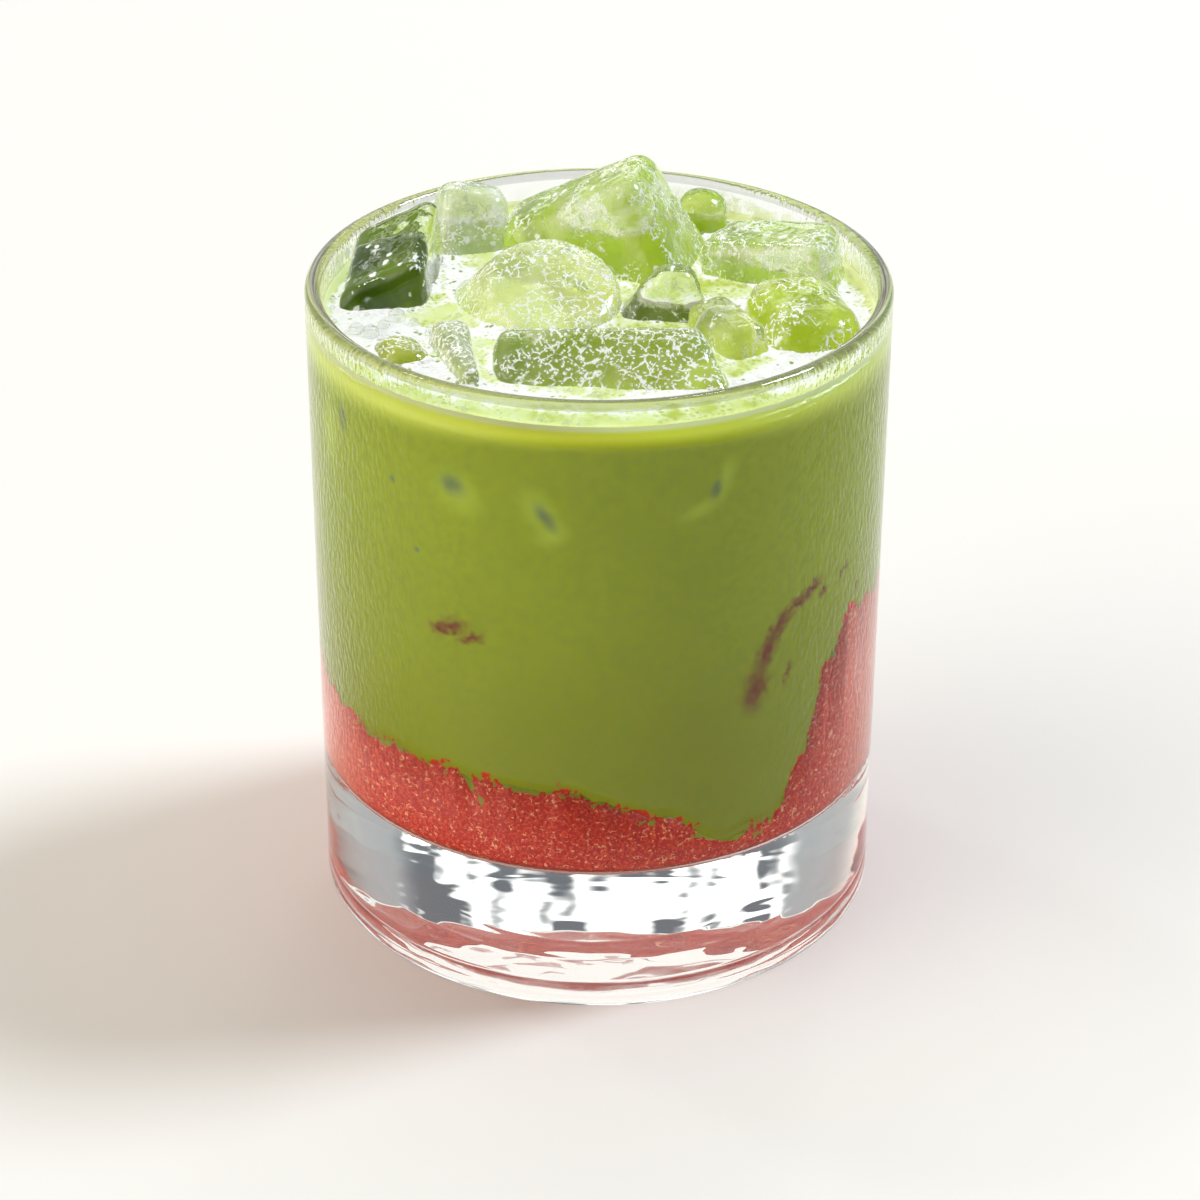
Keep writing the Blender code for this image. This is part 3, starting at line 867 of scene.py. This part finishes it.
def shade_latte(mesh, ice_tree, starts):
    """Where foam lies on the top, and the painted light and shade of the milk in the pockets
    round the ice.
    """
    foam, top, pocket, in_pocket = [], [], [], []
    for x, y, z in corners_of(mesh).tolist():
        spot = Vector((x, y, z))
        rim = INNER_RADIUS - math.hypot(x, y)
        _, _, face, near = ice_tree.find_nearest(spot)
        name = ICE_NAMES[bisect.bisect_right(starts, face) - 1]
        is_top = z > LEVEL - 0.4 * MM and rim > -0.02 * MM
        foam.append(foam_amount(x, y, near, rim) if is_top else 0.0)
        top.append(min(1.0, max(0.0, rim / (3.0 * MM))) if is_top else 0.0)
        is_pocket = near < 0.2 * MM and rim > 0.2 * MM
        depth = (LEVEL - z) / MM
        # How much of the painted pocket light and shade shows, less of it deep down.
        in_pocket.append(max(0.75, 1.0 - depth / 30.0) if is_pocket else 0.0)
        pocket.append((*ICE_LOOKS[name][3], 1.0))
    store_numbers(mesh, "foam", foam)
    store_numbers(mesh, "top", top)
    store_numbers(mesh, "in_pocket", in_pocket)
    store_colours(mesh, "pocket", pocket)
    store_edge(mesh)


def foam_amount(x, y, near, rim):
    """Foam by place on the top: a bank at the left, strips at the front and the right; the front
    strip is partly a painted highlight of the rim.
    """
    spot = Vector((x, y, LEVEL))
    amount = 1.15 * math.exp(-near / (0.8 * MM)) * (0.35 + noise.noise(spot / (4.0 * MM)))
    for bank_x, bank_y, width, depth, turn, strength in FOAM_BANKS:
        across = (x / MM - bank_x) * math.cos(turn) + (y / MM - bank_y) * math.sin(turn)
        along = (y / MM - bank_y) * math.cos(turn) - (x / MM - bank_x) * math.sin(turn)
        amount += strength * math.exp(-(across / width) ** 2 - (along / depth) ** 2)
    reach = math.hypot(x, y) / MM
    # The strip at the front: partly foam and partly a painted highlight of the rim.
    amount += 1.9 * math.exp(-((reach - 30.4) / 1.6) ** 2) * (y < 0)
    amount += 0.5 * noise.noise(spot / (2.4 * MM))
    return amount * min(1.0, 0.25 + rim / (2.5 * MM))


def ball(detail):
    """Corners and faces of a round ball of radius 1."""
    bm = bmesh.new()
    bmesh.ops.create_icosphere(bm, subdivisions=detail, radius=1.0)
    corners = np.array([vert.co[:] for vert in bm.verts])
    faces = np.array([[vert.index for vert in face.verts] for face in bm.faces])
    bm.free()
    return corners, faces


def balls_mesh(name, places):
    """One mesh of many balls; each place is (x, y, z, radius)."""
    corners, faces, first = [], [], 0
    kinds = {detail: ball(detail) for detail in (1, 2, 3)}
    for x, y, z, size in places:
        detail = 3 if size > 0.8 * MM else 2 if size > 0.22 * MM else 1
        shape, sides = kinds[detail]
        corners.append(shape * size + (x, y, z))
        faces.append(sides + first)
        first += len(shape)
    mesh = bpy.data.meshes.new(name)
    mesh.from_pydata(np.concatenate(corners).tolist(), [], np.concatenate(faces).tolist())
    mesh.update()
    return mesh


class Spots:
    """Places already taken, kept in square cells so that each look is quick."""

    def __init__(self, cell):
        self.cell = cell
        self.taken = {}

    def is_free(self, x, y, size):
        column, row = int(x // self.cell), int(y // self.cell)
        for across in (column - 1, column, column + 1):
            for along in (row - 1, row, row + 1):
                for other_x, other_y, other in self.taken.get((across, along), ()):
                    if math.hypot(x - other_x, y - other_y) < (size + other) * CROWDING:
                        return False
        self.taken.setdefault((column, row), []).append((x, y, size))
        return True


def make_bubbles(ice_tree):
    """Bubbles on the drink: a few big ones at the left, and many small along the edges."""
    dice = random.Random(BUBBLE_SEED)
    spots = Spots(3.0 * MM)
    places = []

    def put(x, y, size):
        if math.hypot(x, y) < INNER_RADIUS - size * 0.7 and spots.is_free(x, y, size):
            places.append((x, y, LEVEL + size * BUBBLE_LIFT, size))

    for x, y, size in BIG_BUBBLES:
        put(x * MM, y * MM, size * MM)
    for _ in range(BUBBLE_TRIES):
        turn = dice.uniform(0, 2 * math.pi)
        reach = INNER_RADIUS * math.sqrt(dice.random())
        x, y = reach * math.sin(turn), -reach * math.cos(turn)
        near = ice_tree.find_nearest(Vector((x, y, LEVEL)))[3]
        rim = INNER_RADIUS - reach
        pull = max(math.exp(-near / (0.9 * MM)), math.exp(-rim / (1.1 * MM)))
        pull *= 0.35 + 0.9 * (noise.noise(Vector((x, y, 0)) / (7.0 * MM)) * 0.5 + 0.5)
        if dice.random() < pull:
            put(x, y, (BUBBLE_SIZE + BUBBLE_SPREAD * dice.random() ** 3) * MM)
    add_piece("foam_bubbles", balls_mesh("foam_bubbles", places), bubble_material(),
              ())


def make_film():
    """The thin film of milk on the inner wall, from the level to a ragged line above it."""
    low = LEVEL + FILM_START
    verts, faces, cover = [], [], []
    for row in range(FILM_ROWS + 1):
        share = row / FILM_ROWS
        for step in range(FILM_STEPS):
            angle = 360.0 * step / FILM_STEPS
            turn = math.radians(angle)
            spot = Vector((math.sin(turn), math.cos(turn), 0.0))
            waves = sum(tall * noise.noise(spot * often) for tall, often in FILM_WAVES)
            height = (FILM_HEIGHT + waves) * MM
            radius = INNER_RADIUS - (FILM_THICKNESS[0] + FILM_THICKNESS[1] * (1.0 - share)) * MM
            verts.append((radius * spot.x, -radius * spot.y, low + height * share))
            place = sum(math.exp(-(((angle - middle + 180.0) % 360.0 - 180.0) / wide) ** 2)
                        for middle, wide in FILM_PLACES)
            cover.append(min(1.0, place) * (1.0 - share ** 3))
            if row < FILM_ROWS:
                after = (step + 1) % FILM_STEPS
                here, above = row * FILM_STEPS, (row + 1) * FILM_STEPS
                faces.append((here + step, here + after, above + after, above + step))
    mesh = bpy.data.meshes.new("milk_film")
    mesh.from_pydata(verts, [], faces)
    mesh.update()
    store_numbers(mesh, "cover", cover)
    add_piece("milk_film", mesh, film_material(), ())


def make_floor():
    mesh = bpy.data.meshes.new("pale_floor")
    corners = [(x * FLOOR_HALF_SIDE, y * FLOOR_HALF_SIDE, 0)
               for x, y in ((-1, -1), (1, -1), (1, 1), (-1, 1))]
    mesh.from_pydata(corners, [], [(0, 1, 2, 3)])
    mesh.materials.append(floor_material())
    floor = bpy.data.objects.new("pale_floor", mesh)
    floor.location.z = -FLOOR_DROP
    bpy.context.scene.collection.objects.link(floor)


def add_lamp(name, place, aim, size, power, colour):
    data = bpy.data.lights.new(name, 'AREA')
    data.shape = 'ELLIPSE'
    data.size, data.size_y = size
    data.energy = power
    data.color = colour
    lamp = bpy.data.objects.new(name, data)
    lamp.location = place
    lamp.rotation_euler = (Vector(aim) - Vector(place)).to_track_quat('-Z', 'Y').to_euler()
    bpy.context.scene.collection.objects.link(lamp)


def make_sky():
    """A warm studio: bright at the front left, cooler at the back, dark at the front right."""
    world = bpy.data.worlds.new("studio")
    world.use_nodes = True
    tree = world.node_tree
    sky = tree.nodes["Background"]
    sky.inputs["Strength"].default_value = 1.0
    way = tree.nodes.new("ShaderNodeTexCoord")
    def share_of(value, near, far):
        share = tree.nodes.new("ShaderNodeMapRange")
        share.interpolation_type = 'SMOOTHSTEP'
        share.inputs["From Min"].default_value = near
        share.inputs["From Max"].default_value = far
        tree.links.new(value, share.inputs["Value"])
        return share.outputs["Result"]

    def towards_share(towards, near, far):
        aim = tree.nodes.new("ShaderNodeVectorMath")
        aim.operation = 'DOT_PRODUCT'
        aim.inputs[1].default_value = Vector(towards).normalized()
        tree.links.new(way.outputs["Generated"], aim.inputs[0])
        return share_of(aim.outputs["Value"], near, far)

    def mixed(share, *colours):
        mix = tree.nodes.new("ShaderNodeMix")
        mix.data_type = 'RGBA'
        tree.links.new(share, mix.inputs["Factor"])
        for socket, colour in zip((mix.inputs[6], mix.inputs[7]), colours):
            if isinstance(colour, bpy.types.NodeSocket):
                tree.links.new(colour, socket)
            else:
                socket.default_value = (*colour, 1.0)
        return mix.outputs[2]

    colour = SKY_COLOUR
    for towards, shade, near, far in SKY_SIDES:
        colour = mixed(towards_share(towards, near, far), colour, shade)
    clouds = tree.nodes.new("ShaderNodeTexNoise")
    clouds.inputs["Scale"].default_value = CLOUD_SCALE
    clouds.inputs["Detail"].default_value = 1.0
    tree.links.new(way.outputs["Generated"], clouds.inputs["Vector"])
    cloud = mixed(share_of(clouds.outputs["Fac"], *CLOUD_EDGE), *CLOUD_COLOURS)
    colour = mixed(towards_share(CLOUDS_TOWARDS, *CLOUDS_REACH), colour, cloud)
    tree.links.new(colour, sky.inputs["Color"])
    bpy.context.scene.world = world


def make_lights():
    for name, place, size, power, colour in LAMPS:
        add_lamp(name, place, LOOK_AT, size, power, colour)
    make_sky()


def make_camera():
    rise = math.radians(CAMERA_ELEVATION)
    data = bpy.data.cameras.new("camera")
    data.lens = LENS
    data.sensor_width = SENSOR
    data.shift_x = CAMERA_SHIFT
    data.clip_start = 0.01
    camera = bpy.data.objects.new("camera", data)
    place = LOOK_AT + CAMERA_DISTANCE * Vector((0.0, -math.cos(rise), math.sin(rise)))
    look = Matrix.Rotation(math.pi / 2 - rise, 4, 'X')
    roll = Matrix.Rotation(math.radians(CAMERA_ROLL), 4, 'Z')
    camera.matrix_world = Matrix.Translation(place) @ look @ roll
    bpy.context.scene.collection.objects.link(camera)
    bpy.context.scene.camera = camera


make_camera()
make_glass()
make_puree()
ice = make_ice()
ice_tree, ice_starts = tree_of(ice.values())
make_latte(ice, ice_tree, ice_starts)
make_bubbles(ice_tree)
make_film()
make_floor()
make_lights()
bpy.context.scene.view_settings.view_transform = 'Standard'
